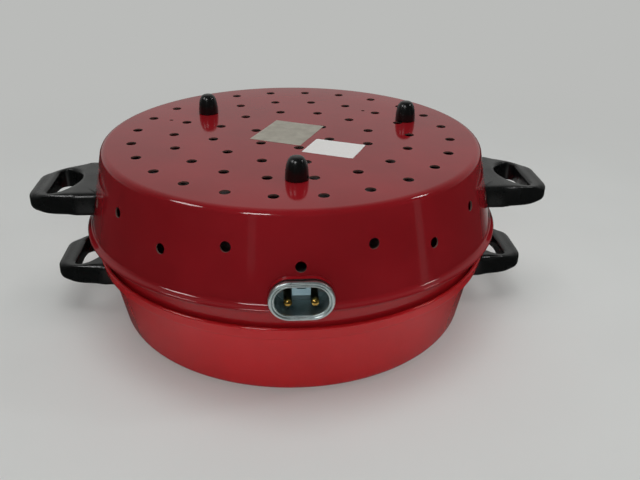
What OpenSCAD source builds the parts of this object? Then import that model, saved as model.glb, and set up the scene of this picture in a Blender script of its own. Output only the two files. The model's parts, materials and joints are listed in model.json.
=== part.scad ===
// Countertop electric grill: a perforated heating lid that stands in the gallery of an enamelled pan.
// Millimetres, +Z up. The origin is the centre of the pan's underside; the power inlet faces -Y.

/* [Sheet metal] */
// Thickness of the enamelled sheet
sheet = 1.2; // [0.8:0.1:2]
// Thickness of the plain inner sheet pieces
thin_sheet = 1; // [0.6:0.1:1.6]

/* [Pan] */
// Height of the pan to the middle of its rolled rim
pan_height = 68; // [55:1:95]
// Play between the lid's skirt and the gallery round it
skirt_play = 2; // [1.8:0.1:4]
// Width of the ledge that carries the lid
ledge_w = 5.4; // [5:0.1:8]
// How far the wall leans in from the ledge to the base
pan_taper = 11; // [4:0.5:20]
// Depth of the gallery below the rim
pan_gallery_depth = 10; // [8:0.5:20]
// Rounding of the base corner
pan_corner_r = 9; // [5:0.5:15]
// Radius of the rolled rim
pan_rim_bead_r = 1.6; // [1.2:0.1:2.5]

/* [Lid shell] */
// Height of the lid from the bottom of its skirt to its top face
lid_height = 97.6; // [85:0.5:130]
// Outer radius of the skirt that drops into the gallery
skirt_r = 168.2; // [152:0.2:190]
// Height of the plain skirt below the bead
skirt_height = 24; // [18:0.5:28]
// How far the bead stands out from the skirt
bead_out = 15.2; // [12:0.2:18]
// Height of the bead's outer edge above the skirt
bead_rise = 4.5; // [3:0.5:8]
// Height of the bead's upper slope
bead_slope = 3; // [2.5:0.5:6]
// How far the wall stands back from the bead
bead_in = 7.6; // [5:0.2:9]
// How far the wall leans in from the bead to the top
lid_taper = 14; // [8:0.2:18]
// Rounding of the top edge
lid_edge_r = 6; // [3:0.5:12]
// Gap between the skirt's edge and the ledge it rests on
seat_gap = 0.2; // [0.1:0.05:0.5]

/* [Vents] */
// Diameter of a vent in the top
vent_d = 8.4; // [5:0.1:10]
// Number of rings of vents
vent_rings = 4; // [2:1:4]
// Distance from ring to ring
vent_pitch = 34.2; // [30:0.1:36]
// Angle of the first vent from the front
vent_phase = 7.5; // [5:0.5:10]
// Diameter of a vent in the wall
side_vent_d = 8; // [5:0.1:9]
// Number of vents round the wall
side_vent_count = 20; // [12:4:20]
// Depth of the upper row of side vents below the top
side_vent_upper = 27; // [22:0.5:30]
// Depth of the lower row of side vents below the top
side_vent_lower = 38.5; // [36:0.5:41]
// Diameter of the two spare screw holes
spare_hole_d = 3.6; // [2.5:0.1:5]

/* [Feet] */
// Diameter of a foot at its base
foot_d = 18; // [15.5:0.5:22]
// Diameter of a foot where its dome starts
foot_dome_d = 14.9; // [11:0.1:15.2]
// Height of a foot
foot_height = 18; // [15:0.5:28]
// Height of the dome
foot_dome_height = 5; // [4:0.5:7]
// How far the front and left feet stand outside the third ring of vents
foot_out = 0.4; // [0:0.1:2]
// How far the right foot stands outside the third ring of vents
foot_right_out = 10.4; // [9:0.2:13]
// Diameter of the stud that carries a foot and the reflector
stud_d = 4; // [3:0.5:5]

/* [Handles] */
// Width of a handle where it leaves the wall
handle_root_w = 80; // [70:1:90]
// Width of a handle across its outer corners
handle_tip_w = 60; // [50:1:66]
// Height of a handle at its root
handle_root_h = 20.5; // [16:0.5:24]
// Height of a handle at its tip
handle_tip_h = 15.5; // [12:0.5:16]
// How far a lid handle stands out from the foot of the lid's wall
lid_handle_out = 51.2; // [46:0.2:64]
// Height of a lid handle's underside above the skirt's edge
lid_handle_rise = 40.6; // [36:0.2:46]
// How far a pan handle stands out from the top of the pan's wall
pan_handle_out = 46; // [41:0.5:56]
// Distance of a pan handle's top below the ledge
pan_handle_drop = 5.5; // [4:0.5:9]
// Rounding of a handle's edges
handle_edge_r = 5; // [2:0.5:6]
// Length of the finger hole from the tip's inner face towards the wall
finger_hole_l = 25; // [20:0.5:26]
// Width of the bar at a handle's tip
handle_bar_w = 16.5; // [13:0.5:20]
// Radius of the rounded side of the finger hole
finger_hole_r = 31; // [27:0.5:33]
// Distance between a handle's two screws
handle_screw_pitch = 46; // [38:1:54]
// Thread diameter of a handle screw
handle_screw_d = 4; // [3:0.5:5]

/* [Inlet] */
// Diameter of a contact pin
pin_d = 6; // [4:0.5:7]
// Distance between the contact pins
pin_pitch = 19; // [17:0.5:21]
// Free length of a contact pin
pin_free = 20; // [14:0.5:22]
// Width of the inlet's shroud
shroud_w = 47; // [44:0.5:52]
// Height of the inlet's shroud
shroud_h = 31; // [28:0.5:34]
// Width of the shroud's rolled edge
shroud_edge_w = 4.4; // [3:0.2:5]
// How far the shroud's front stands out from the foot of the lid's wall
inlet_out = 5; // [5:0.2:12]
// Web between the inlet and the vent above it
inlet_web = 2.2; // [1:0.1:4]
// Distance of the pin tips behind the shroud's front
pin_recess = 2; // [1:0.5:6]
// Distance of the pins below the middle of the shroud
pin_drop = 2.8; // [0:0.2:4]
// Thickness of the insulator
insulator_t = 6; // [4:0.5:8]

/* [Heater] */
// Diameter of the heating tube
heater_d = 6.5; // [5:0.5:8]
// Radius of the heating ring
heater_r = 105; // [95:1:115]
// Bend radius of the tube's ends
heater_bend_r = 14; // [10:1:18]
// Distance of the reflector's edge inside the lid's top edge
reflector_margin = 5.8; // [5:0.2:20]
// Drop of the reflector's sloping rim
reflector_drop = 7; // [4:0.5:10]
// Distance of the reflector below the lid's top
reflector_depth = 33; // [26:0.5:36]

/* [Labels] */
// Length of the blank rating plate
plate_l = 57; // [40:1:70]
// Width of the blank rating plate
plate_w = 46.5; // [30:0.5:60]
// Length of the blank paper label
label_l = 44; // [30:0.5:60]
// Width of the blank paper label
label_w = 35; // [25:0.5:45]
// Thickness of the plate and of the label
foil_t = 0.3; // [0.2:0.05:0.6]

/* [Hidden] */
$fn = 96;

// Working clearances
fit_gap = 0.1;
thread_gap = 0.05;
cut_over = 1;
nut_over = 1;
fillet_steps = 8;
least_r = 0.2;
least_flat = 0.5;
small_fn = 32;

// Pan heights and profile
gallery_lean = 0.6;
pan_gallery_r = skirt_r + skirt_play + sheet + gallery_lean;
pan_wall_r = pan_gallery_r - gallery_lean - ledge_w;
pan_base_r = pan_wall_r - pan_taper;
ledge_z = pan_height - pan_gallery_depth;
seat_z = ledge_z + sheet;
pan_soft_r = 3;
pan_path = [[0, 0], [pan_base_r, 0], [pan_wall_r, ledge_z], [pan_gallery_r - gallery_lean, ledge_z],
    [pan_gallery_r, pan_height]];
pan_radii = [0, pan_corner_r, pan_soft_r, pan_soft_r, 0];

// Lid radii, heights and profile
bead_r = skirt_r + bead_out;
lid_wall_r = bead_r - bead_in;
lid_top_r = lid_wall_r - lid_taper;
skirt_z = seat_z + seat_gap;
lid_top_z = skirt_z + lid_height;
bead_z = skirt_z + skirt_height + bead_rise;
wall_z = bead_z + bead_slope;
bead_edge_r = 1.6;
bead_root_r = 4;
lid_path = [[skirt_r, skirt_z], [skirt_r, skirt_z + skirt_height], [bead_r, bead_z],
    [lid_wall_r, wall_z], [lid_top_r, lid_top_z], [0, lid_top_z]];
lid_radii = [0, bead_root_r, bead_edge_r, bead_root_r, lid_edge_r, 0];

// Vents of the innermost ring
vent_step = 6;

// Feet: angle from the front, towards +X, and radius
third_ring_r = 3 * vent_pitch;
foot_r = third_ring_r + foot_out;
foot_right_r = third_ring_r + foot_right_out;
feet = [[0, foot_r], [110, foot_right_r], [228.4, foot_r]];
spare_inside = 3.2;
spare_outside = 16.3;
spare_holes = [[134.8, third_ring_r - spare_inside], [247.1, third_ring_r + spare_outside]];
stud_slack = 0.3;
stud_hole_d = stud_d + stud_slack;
stud_in_foot = 12;
stud_nut_h = 3.2;
stud_nut_d = 8;
spacer_d = 13;
reflector_z = lid_top_z - reflector_depth;
reflector_r = lid_top_r - reflector_margin;

// Handles
lid_handle_z = skirt_z + lid_handle_rise;
lid_handle_reach = lid_wall_r + lid_handle_out;
pan_handle_z = ledge_z - pan_handle_drop - handle_root_h;
pan_handle_reach = pan_wall_r + pan_handle_out;
handle_corner_r = 15;
handle_shoulder = 30;
handle_root_depth = 12;
insert_d = 7;
insert_l = 12;
screw_head_d = 8;
screw_head_h = 2.4;
screw_in_insert = 11;

// Inlet, measured along Y from the shroud's front
inlet_front = lid_wall_r + inlet_out;
shroud_z = lid_top_z - side_vent_lower - side_vent_d / 2 - inlet_web - shroud_h / 2;
inlet_z = shroud_z - pin_drop;
shroud_r = shroud_h / 2;
shroud_side = (shroud_w - shroud_h) / 2;
edge_r = shroud_edge_w / 2;
insulator_front = inlet_front - pin_recess - pin_free;
insulator_back = insulator_front - insulator_t;
bracket_half_w = 40;
bracket_h = 16;
pin_neck = 0.5;
pin_behind = 7;
pin_shoulder = insulator_back - pin_behind;
pin_shank_d = pin_d - 1;
tail_d = pin_d - 2;
creep_gap = 1.5;
bracket_hole_d = pin_shank_d + 2 * creep_gap;
inlet_rivet_d = 3;
inlet_rivet_head_d = 5;
inlet_rivet_head_h = 0.9;
rivet_clear = 0.4;
inlet_rivet_x = pin_pitch / 2 + pin_d / 2 + inlet_rivet_head_d / 2 + rivet_clear;
earth_w = 13;
earth_reach = 15;
earth_drop = 9.5;
earth_window_w = 6;
earth_window_h = 2.4;

// Heater
heater_z = inlet_z;
strap_y = pin_shoulder - thin_sheet;
strap_h = 8;
leg_nut_h = 3;
leg_stud_d = 3;
bush_l = 8;
bush_d = 11;
bush_clear = 1;
leg_end = strap_y - bush_clear - bush_l;
tail_nut_across = 7;
leg_nut_across = 5.5;
heater_leg_x = pin_pitch / 2 + tail_nut_across / cos(30) / 2 + bush_d / 2 + bush_clear;
bend_angle = asin((heater_leg_x + heater_bend_r) / (heater_r + heater_bend_r));
leg_start = (heater_r + heater_bend_r) * cos(bend_angle);
bend_steps = 6;
ring_steps = 60;
tube_sides = 12;
clip_angles = [50, 140, 190, 300];
clip_w = 10;
clip_ring_t = 1.2;
clip_rivet_d = 3;
clip_rivet_head_d = 5.4;
eye_gap = clip_w * clip_w / heater_r / 8 + fit_gap;

// Labels: middle of each on the top, and turn about Z
plate_x = -3.7;
plate_y = 6.3;
plate_turn = 65.4;
label_x = 33.5;
label_y = -37.4;
label_turn = -24.3;

enamel_lid = "#7a1016";
enamel_pan = "#a52a2a";
phenolic = "#1b1c1c";
plated = "#b9bfbc";
brass_tone = "#c3a050";
steel_tone = "#9a9fa3";
insulator_tone = "#3b4446";
reflector_tone = "#c9ccce";
sheath_tone = "#6d6a66";
bush_tone = "#e6e1d6";
spring_tone = "#a9c0cb";
foil_tone = "#b8b2a8";
paper_tone = "#e9e7e4";

// Point at an angle from the front (-Y), towards +X
function from_front(angle, r) = [r * sin(angle), -r * cos(angle)];

function unit(v) = v / norm(v);

// Left-hand side of a direction
function left_of(d) = [-d[1], d[0]];

// Corner i of a path moved sideways by d on both of its edges
function shifted_corner(path, i, d) =
    let (n = len(path),
        before = unit(path[max(i, 1)] - path[max(i, 1) - 1]),
        after = unit(path[min(i, n - 2) + 1] - path[min(i, n - 2)]),
        side = left_of(before) + left_of(after))
    path[i] + side * d * 2 / (side * side);

function shifted(path, d) = [for (i = [0:len(path) - 1]) shifted_corner(path, i, d)];

// Points of one corner rounded to radius r, as an arc tangent to both edges
function round_corner(p, q, s, r) =
    let (a = unit(p - q),
        b = unit(s - q),
        half = acos(a * b) / 2,
        middle = q + unit(a + b) * r / sin(half),
        from = q + a * r / tan(half) - middle,
        turn = (a[0] * b[1] - a[1] * b[0] > 0 ? -1 : 1) * (180 - 2 * half))
    [for (i = [0:fillet_steps])
        let (t = turn * i / fillet_steps)
        middle + [from[0] * cos(t) - from[1] * sin(t), from[0] * sin(t) + from[1] * cos(t)]];

function rounded(path, radii) =
    [for (i = [0:len(path) - 1])
        each (radii[i] > 0 ? round_corner(path[i - 1], path[i], path[i + 1], radii[i]) : [path[i]])];

// Side of corner i on which the path turns: +1 to the left, -1 to the right, 0 at an end
function turn_side(path, i) =
    i == 0 || i == len(path) - 1 ? 0 :
    let (a = path[i] - path[i - 1], b = path[i + 1] - path[i])
    sign(a[0] * b[1] - a[1] * b[0]);

// Radii of the corners of a path shifted to its left by d
function shifted_radii(path, radii, d) =
    [for (i = [0:len(path) - 1])
        radii[i] == 0 ? 0 : max(radii[i] - turn_side(path, i) * d, least_r)];

function reversed(list) = [for (i = [len(list) - 1:-1:0]) list[i]];

// Sheet turned about Z: the path is its outer side and the metal lies on the left
module turned_sheet(path, radii, t) {
    rotate_extrude()
        polygon(concat(rounded(path, radii),
            reversed(rounded(shifted(path, t), shifted_radii(path, radii, t)))));
}

function on_line(a, b, z) = a[0] + (b[0] - a[0]) * (z - a[1]) / (b[1] - a[1]);
function pan_wall_at(z) = on_line(pan_path[1], pan_path[2], z);
function lid_wall_at(z) = on_line(lid_path[3], lid_path[4], z);

// Thickness of a sloping sheet from a to b, measured level
function skin_across(a, b) = sheet * norm(b - a) / abs(b[1] - a[1]);

// Solid cone that follows a wall between two heights, grown by a gap
module wall_cone(r_low, r_high, z_low, z_high) {
    translate([0, 0, z_low])
        cylinder(r1 = r_low, r2 = r_high, h = z_high - z_low);
}

// Stadium outline about the inlet's middle, r high on each side
module stadium(r) {
    square([2 * shroud_side, 2 * r], center = true);
    for (s = [-1, 1])
        translate([s * shroud_side, 0])
            circle(r);
}

// Carries a shape drawn in the inlet's front view to its place; depth runs inwards along +Y
module at_inlet(front, depth) {
    translate([0, -front, shroud_z])
        rotate([90, 0, 0])
            mirror([0, 0, 1])
                linear_extrude(depth)
                    children();
}

// Cylinder along Y from y = -front, inwards
module inlet_rod(x, front, length, d) {
    translate([x, -front, inlet_z])
        rotate([-90, 0, 0])
            cylinder(d = d, h = length);
}

// Hexagon nut on the inlet's axis direction
module inlet_nut(x, front, length, across) {
    translate([x, -front, inlet_z])
        rotate([-90, 0, 0])
            cylinder(d = across / cos(30), h = length, $fn = 6);
}

// Round post with rounded upper and lower edges
module post(r, h) {
    e = min(handle_edge_r, r - 2 * least_flat, h / 2 - least_flat);
    rotate_extrude($fn = small_fn)
        polygon(concat([[0, 0]],
            [for (a = [-90:30:0]) [r - e + e * cos(a), e + e * sin(a)]],
            [for (a = [0:30:90]) [r - e + e * cos(a), h - e + e * sin(a)]],
            [[0, h]]));
}

// Moulded handle pointing along +X, before its seat is cut
module handle_blank(reach, root_r, z) {
    shoulder_x = reach - handle_shoulder;
    c = handle_corner_r;
    hull()
        for (s = [-1, 1]) {
            translate([root_r - handle_root_depth, s * (handle_root_w / 2 - c), z])
                post(c, handle_root_h);
            translate([shoulder_x - c, s * (handle_root_w / 2 - c), z])
                post(c, handle_root_h);
            translate([reach - c, s * (handle_tip_w / 2 - c), z])
                post(c, handle_tip_h);
        }
}

// Finger hole: rounded towards the wall, straight along the tip's bar
module finger_hole(reach, z) {
    bar_x = reach - handle_bar_w;
    translate([0, 0, z - cut_over])
        linear_extrude(handle_root_h + 2 * cut_over)
            intersection() {
                translate([bar_x - finger_hole_l + finger_hole_r, 0])
                    circle(finger_hole_r);
                translate([bar_x - finger_hole_l, -finger_hole_r])
                    square([finger_hole_l, 2 * finger_hole_r]);
            }
}

// Places something at both screws of the handle on side s (-1 left, +1 right)
module at_handle_screws(s, x, z) {
    for (t = [-1, 1])
        translate([s * x, t * handle_screw_pitch / 2, z])
            rotate([0, s * 90, 0])
                children();
}

function screw_z(z) = z + handle_root_h / 2;

// Flat seat of a screw head inside a wall of inner radius r at the head's upper edge
function head_seat(r) = sqrt(pow(r, 2) - pow(handle_screw_pitch / 2 + screw_head_d / 2, 2)) - thread_gap;

// Where a handle's insert starts, just outside the wall of outer radius r
function insert_start(r) = sqrt(pow(r, 2) - pow(handle_screw_pitch / 2 - insert_d / 2, 2)) + fit_gap;

module handle(s, reach, z, r_low, r_high) {
    difference() {
        rotate([0, 0, s > 0 ? 0 : 180])
            handle_blank(reach, r_low, z);
        rotate([0, 0, s > 0 ? 0 : 180])
            finger_hole(reach, z);
        wall_cone(r_low + fit_gap, r_high + fit_gap, z - cut_over, z + handle_root_h + cut_over);
        at_handle_screws(s, 0, screw_z(z))
            cylinder(d = insert_d + 2 * thread_gap,
                h = insert_start(max(r_low, r_high)) + insert_l + fit_gap);
    }
}

module handle_screws(z, seat, start) {
    for (s = [-1, 1])
        at_handle_screws(s, seat, screw_z(z)) {
            translate([0, 0, -screw_head_h])
                cylinder(d = screw_head_d, h = screw_head_h);
            cylinder(d = handle_screw_d, h = start - seat + screw_in_insert);
        }
}

module handle_inserts(z, start) {
    for (s = [-1, 1])
        at_handle_screws(s, start, screw_z(z))
            difference() {
                cylinder(d = insert_d, h = insert_l);
                translate([0, 0, -cut_over])
                    cylinder(d = handle_screw_d + 2 * thread_gap, h = insert_l + 2 * cut_over);
            }
}

// Wall radii at the handles: below, above, and at a screw head's upper and lower edges
pan_low_r = pan_wall_at(pan_handle_z - cut_over);
pan_high_r = pan_wall_at(pan_handle_z + handle_root_h + cut_over);
lid_low_r = lid_wall_at(lid_handle_z - cut_over);
lid_high_r = lid_wall_at(lid_handle_z + handle_root_h + cut_over);
pan_skin = skin_across(pan_path[1], pan_path[2]);
lid_skin = skin_across(lid_path[3], lid_path[4]);
pan_seat = head_seat(pan_wall_at(screw_z(pan_handle_z) - screw_head_d / 2) - pan_skin);
lid_seat = head_seat(lid_wall_at(screw_z(lid_handle_z) + screw_head_d / 2) - lid_skin);
pan_insert = insert_start(pan_wall_at(screw_z(pan_handle_z) + insert_d / 2));
lid_insert = insert_start(lid_wall_at(screw_z(lid_handle_z) - insert_d / 2));

module pan_shell() {
    color(enamel_pan)
        difference() {
            union() {
                turned_sheet(pan_path, pan_radii, sheet);
                rotate_extrude()
                    translate([pan_gallery_r - sheet / 2, pan_height])
                        circle(pan_rim_bead_r, $fn = small_fn);
            }
            for (s = [-1, 1])
                at_handle_screws(s, 0, screw_z(pan_handle_z))
                    cylinder(d = handle_screw_d + 2 * fit_gap, h = pan_gallery_r);
        }
}

module pan_handle_left() {
    color(phenolic)
        handle(-1, pan_handle_reach, pan_handle_z, pan_low_r, pan_high_r);
}

module pan_handle_right() {
    color(phenolic)
        handle(1, pan_handle_reach, pan_handle_z, pan_low_r, pan_high_r);
}

module pan_handle_screws() {
    color(steel_tone)
        handle_screws(pan_handle_z, pan_seat, pan_insert);
}

module pan_handle_inserts() {
    color(brass_tone)
        handle_inserts(pan_handle_z, pan_insert);
}

// Rings of vents, each with six more than the one inside it
module top_vents() {
    for (ring = [1:vent_rings], k = [0:vent_step * ring - 1])
        translate(concat(from_front(vent_phase + k * 360 / (vent_step * ring), ring * vent_pitch),
            reflector_z))
            cylinder(d = vent_d, h = reflector_depth + cut_over);
}

module side_vents() {
    for (k = [0:side_vent_count - 1])
        rotate([0, 0, k * 360 / side_vent_count])
            translate([0, 0, lid_top_z - (k % 2 == 0 ? side_vent_lower : side_vent_upper)])
                rotate([90, 0, 0])
                    cylinder(d = side_vent_d, h = bead_r);
}

module top_holes(places, d) {
    for (p = places)
        translate(concat(from_front(p[0], p[1]), reflector_z))
            cylinder(d = d, h = reflector_depth + cut_over);
}

module lid_shell() {
    color(enamel_lid)
        difference() {
            turned_sheet(lid_path, lid_radii, sheet);
            top_vents();
            side_vents();
            top_holes(feet, stud_hole_d);
            top_holes(spare_holes, spare_hole_d);
            at_inlet(bead_r + cut_over, bead_r / 2)
                stadium(shroud_r + fit_gap);
            for (s = [-1, 1])
                at_handle_screws(s, 0, screw_z(lid_handle_z))
                    cylinder(d = handle_screw_d + 2 * fit_gap, h = bead_r);
        }
}

module lid_handle_left() {
    color(phenolic)
        handle(-1, lid_handle_reach, lid_handle_z, lid_low_r, lid_high_r);
}

module lid_handle_right() {
    color(phenolic)
        handle(1, lid_handle_reach, lid_handle_z, lid_low_r, lid_high_r);
}

module lid_handle_screws() {
    color(steel_tone)
        handle_screws(lid_handle_z, lid_seat, lid_insert);
}

module lid_handle_inserts() {
    color(brass_tone)
        handle_inserts(lid_handle_z, lid_insert);
}

// Bullet-shaped foot on the lid's top, bored from below for its stud
module foot(place) {
    wall_h = foot_height - foot_dome_height;
    color(phenolic)
        translate(concat(from_front(place[0], place[1]), lid_top_z))
            difference() {
                rotate_extrude()
                    polygon(concat([[0, 0], [foot_d / 2, 0]],
                        [for (a = [0:10:90])
                            [foot_dome_d / 2 * cos(a), wall_h + foot_dome_height * sin(a)]]));
                translate([0, 0, -cut_over])
                    cylinder(d = stud_d + 2 * thread_gap, h = stud_in_foot + fit_gap + cut_over);
            }
}

module foot_front() foot(feet[0]);
module foot_right() foot(feet[1]);
module foot_left() foot(feet[2]);

module foot_studs() {
    color(steel_tone)
        for (p = feet)
            translate(concat(from_front(p[0], p[1]), reflector_z - thin_sheet - stud_nut_h - nut_over))
                cylinder(d = stud_d, h = reflector_depth + thin_sheet + stud_nut_h + nut_over + stud_in_foot);
}

module reflector_spacers() {
    color(steel_tone)
        for (p = feet)
            translate(concat(from_front(p[0], p[1]), reflector_z))
                difference() {
                    cylinder(d = spacer_d, h = reflector_depth - sheet);
                    translate([0, 0, -cut_over])
                        cylinder(d = stud_d + 2 * thread_gap, h = reflector_depth + cut_over);
                }
}

module reflector_plate() {
    slope_w = 2 * reflector_drop;
    color(reflector_tone)
        difference() {
            rotate_extrude()
                polygon([[0, reflector_z], [0, reflector_z - thin_sheet],
                    [reflector_r - slope_w, reflector_z - thin_sheet],
                    [reflector_r, reflector_z - thin_sheet - reflector_drop],
                    [reflector_r, reflector_z - reflector_drop],
                    [reflector_r - slope_w, reflector_z]]);
            for (p = feet)
                translate(concat(from_front(p[0], p[1]), reflector_z - reflector_depth))
                    cylinder(d = stud_d + 2 * thread_gap, h = 2 * reflector_depth);
            for (a = clip_angles)
                translate(concat(from_front(a, heater_r), reflector_z - reflector_depth))
                    cylinder(d = clip_rivet_d + 2 * thread_gap, h = 2 * reflector_depth);
        }
}

module reflector_nuts() {
    color(steel_tone)
        for (p = feet)
            translate(concat(from_front(p[0], p[1]), reflector_z - thin_sheet - stud_nut_h))
                difference() {
                    cylinder(d = stud_nut_d, h = stud_nut_h, $fn = 6);
                    translate([0, 0, -cut_over])
                        cylinder(d = stud_d + 2 * thread_gap, h = stud_nut_h + 2 * cut_over);
                }
}

// Middle line of the heating tube, from its right end round the ring to its left end
bend_middle = from_front(bend_angle, heater_r + heater_bend_r);
right_end = concat([[heater_leg_x, -leg_end]],
    [for (i = [0:bend_steps])
        let (t = 180 - (90 - bend_angle) * i / bend_steps)
        bend_middle + heater_bend_r * [cos(t), sin(t)]]);
heater_line = concat(right_end,
    [for (i = [1:ring_steps - 1])
        from_front(bend_angle + (360 - 2 * bend_angle) * i / ring_steps, heater_r)],
    [for (p = reversed(right_end)) [-p[0], p[1]]]);

// Direction across a level line at its point i
function across(line, i) =
    left_of(unit(line[min(i + 1, len(line) - 1)] - line[max(i - 1, 0)]));

// Tube of diameter d along a level line
module level_tube(line, d) {
    n = len(line);
    points = [for (i = [0:n - 1], k = [0:tube_sides - 1])
        let (a = k * 360 / tube_sides, side = across(line, i) * cos(a) * d / 2)
        [line[i][0] + side[0], line[i][1] + side[1], sin(a) * d / 2]];
    skin = [for (i = [0:n - 2], k = [0:tube_sides - 1])
        let (here = i * tube_sides + k, beside = i * tube_sides + (k + 1) % tube_sides)
        each [[here, beside, beside + tube_sides], [here, beside + tube_sides, here + tube_sides]]];
    first = [for (k = [1:tube_sides - 2]) [0, k + 1, k]];
    last = [for (k = [1:tube_sides - 2]) (n - 1) * tube_sides * [1, 1, 1] + [0, k, k + 1]];
    polyhedron(points, concat(skin, first, last));
}

// Tubular heating ring whose two ends bend forward to the inlet
module heater_tube() {
    color(sheath_tone)
        translate([0, 0, heater_z])
            level_tube(heater_line, heater_d);
}

module heater_bushes() {
    color(bush_tone)
        for (s = [-1, 1])
            difference() {
                inlet_rod(s * heater_leg_x, leg_end + bush_l, bush_l, bush_d);
                inlet_rod(s * heater_leg_x, leg_end + bush_l + cut_over, bush_l + 2 * cut_over,
                    leg_stud_d + 2 * thread_gap);
            }
}

module heater_terminals() {
    color(steel_tone)
        for (s = [-1, 1])
            inlet_rod(s * heater_leg_x, pin_shoulder + leg_nut_h + nut_over,
                pin_shoulder + leg_nut_h + nut_over - leg_end, leg_stud_d);
}

// Hanger with an eye round the tube and a foot under the reflector
module heater_clips() {
    top = reflector_z - thin_sheet - heater_z;
    eye_d = heater_d + 2 * eye_gap;
    color(steel_tone)
        for (a = clip_angles)
            rotate([0, 0, a])
                translate([0, -heater_r, heater_z])
                    difference() {
                        union() {
                            rotate([0, 90, 0])
                                cylinder(d = eye_d + 2 * clip_ring_t, h = clip_w, center = true);
                            translate([-clip_w / 2, eye_d / 2, 0])
                                cube([clip_w, clip_ring_t, top]);
                            translate([-clip_w / 2, -eye_d / 2, top - clip_ring_t])
                                cube([clip_w, eye_d + clip_ring_t, clip_ring_t]);
                        }
                        rotate([0, 90, 0])
                            cylinder(d = eye_d, h = clip_w + 2 * cut_over, center = true);
                        cylinder(d = clip_rivet_d + 2 * thread_gap, h = top + cut_over);
                    }
}

module heater_clip_rivets() {
    grip = thin_sheet + clip_ring_t;
    color(steel_tone)
        for (a = clip_angles)
            translate(concat(from_front(a, heater_r), reflector_z)) {
                cylinder(d = clip_rivet_head_d, h = thin_sheet);
                translate([0, 0, -grip])
                    cylinder(d = clip_rivet_d, h = grip);
                translate([0, 0, -grip - thin_sheet])
                    cylinder(d = clip_rivet_head_d, h = thin_sheet);
            }
}

// Plated collar: a rolled front edge on an outer and an inner wall
module inlet_shroud() {
    middle_r = shroud_r - edge_r;
    color(plated) {
        translate([0, -inlet_front + edge_r, shroud_z]) {
            for (s = [0, 1])
                mirror([s, 0, 0])
                    translate([shroud_side, 0, 0])
                        rotate([90, 0, 0])
                            rotate([0, 0, -90])
                                rotate_extrude(angle = 180)
                                    translate([middle_r, 0])
                                        circle(edge_r, $fn = small_fn);
            for (s = [-1, 1])
                translate([-shroud_side, 0, s * middle_r])
                    rotate([0, 90, 0])
                        cylinder(r = edge_r, h = 2 * shroud_side, $fn = small_fn);
        }
        at_inlet(inlet_front - edge_r, inlet_front - edge_r - insulator_back)
            difference() {
                stadium(shroud_r);
                stadium(shroud_r - thin_sheet);
            }
        at_inlet(inlet_front - edge_r, inlet_front - edge_r - insulator_front - fit_gap)
            difference() {
                stadium(shroud_r - shroud_edge_w + thin_sheet);
                stadium(shroud_r - shroud_edge_w);
            }
    }
}

module inlet_insulator() {
    color(insulator_tone)
        difference() {
            at_inlet(insulator_front, insulator_t)
                stadium(shroud_r - thin_sheet - fit_gap);
            for (s = [-1, 1]) {
                inlet_rod(s * pin_pitch / 2, insulator_front + cut_over, insulator_t + 2 * cut_over,
                    pin_shank_d + 2 * thread_gap);
                inlet_rod(s * inlet_rivet_x, insulator_front + cut_over, insulator_t + 2 * cut_over,
                    inlet_rivet_d + 2 * thread_gap);
                inlet_rod(s * inlet_rivet_x, insulator_front + cut_over, inlet_rivet_head_h + cut_over,
                    inlet_rivet_head_d + 2 * thread_gap);
            }
        }
}

// Contact pin: domed tip, free part, thinner shank in the insulator, and a tail for its nut
module inlet_pin(s) {
    x = s * pin_pitch / 2;
    tip = inlet_front - pin_recess;
    color(brass_tone) {
        translate([x, -tip + pin_d / 2, inlet_z])
            sphere(d = pin_d, $fn = small_fn);
        inlet_rod(x, tip - pin_d / 2, pin_free - pin_d / 2 - pin_neck, pin_d);
        inlet_rod(x, insulator_front + pin_neck, insulator_front + pin_neck - pin_shoulder, pin_shank_d);
        inlet_rod(x, pin_shoulder, thin_sheet + leg_nut_h + nut_over, tail_d);
    }
}

module inlet_pin_left() inlet_pin(-1);
module inlet_pin_right() inlet_pin(1);

// Sprung earth strip along the socket's roof, with a windowed lip turned down at its front
module earth_contact() {
    roof = shroud_z + shroud_r - shroud_edge_w - fit_gap;
    lip_y = -insulator_front - earth_reach;
    window_z = roof - 2 * thin_sheet - earth_window_h;
    color(spring_tone) {
        translate([-earth_w / 2, lip_y, roof - thin_sheet])
            cube([earth_w, earth_reach - fit_gap, thin_sheet]);
        difference() {
            translate([-earth_w / 2, lip_y, roof - earth_drop])
                cube([earth_w, thin_sheet, earth_drop]);
            translate([-earth_window_w / 2, lip_y - cut_over, window_z])
                cube([earth_window_w, thin_sheet + 2 * cut_over, earth_window_h]);
        }
    }
}

// Strip behind the insulator whose two legs stand on the lid's wall
module inlet_bracket() {
    color(steel_tone)
        difference() {
            union() {
                translate([-bracket_half_w, -insulator_back, shroud_z - bracket_h / 2])
                    cube([2 * bracket_half_w, thin_sheet, bracket_h]);
                for (s = [0, 1])
                    mirror([s, 0, 0])
                        intersection() {
                            translate([bracket_half_w - thin_sheet, -bead_r, shroud_z - bracket_h / 2])
                                cube([thin_sheet, bead_r - insulator_back + thin_sheet, bracket_h]);
                            wall_cone(lid_wall_at(shroud_z - bracket_h) - lid_skin - fit_gap,
                                lid_wall_at(shroud_z + bracket_h) - lid_skin - fit_gap,
                                shroud_z - bracket_h, shroud_z + bracket_h);
                        }
            }
            for (s = [-1, 1]) {
                inlet_rod(s * pin_pitch / 2, insulator_back + cut_over, thin_sheet + 2 * cut_over,
                    bracket_hole_d);
                inlet_rod(s * inlet_rivet_x, insulator_back + cut_over, thin_sheet + 2 * cut_over,
                    inlet_rivet_d + 2 * thread_gap);
            }
        }
}

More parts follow.
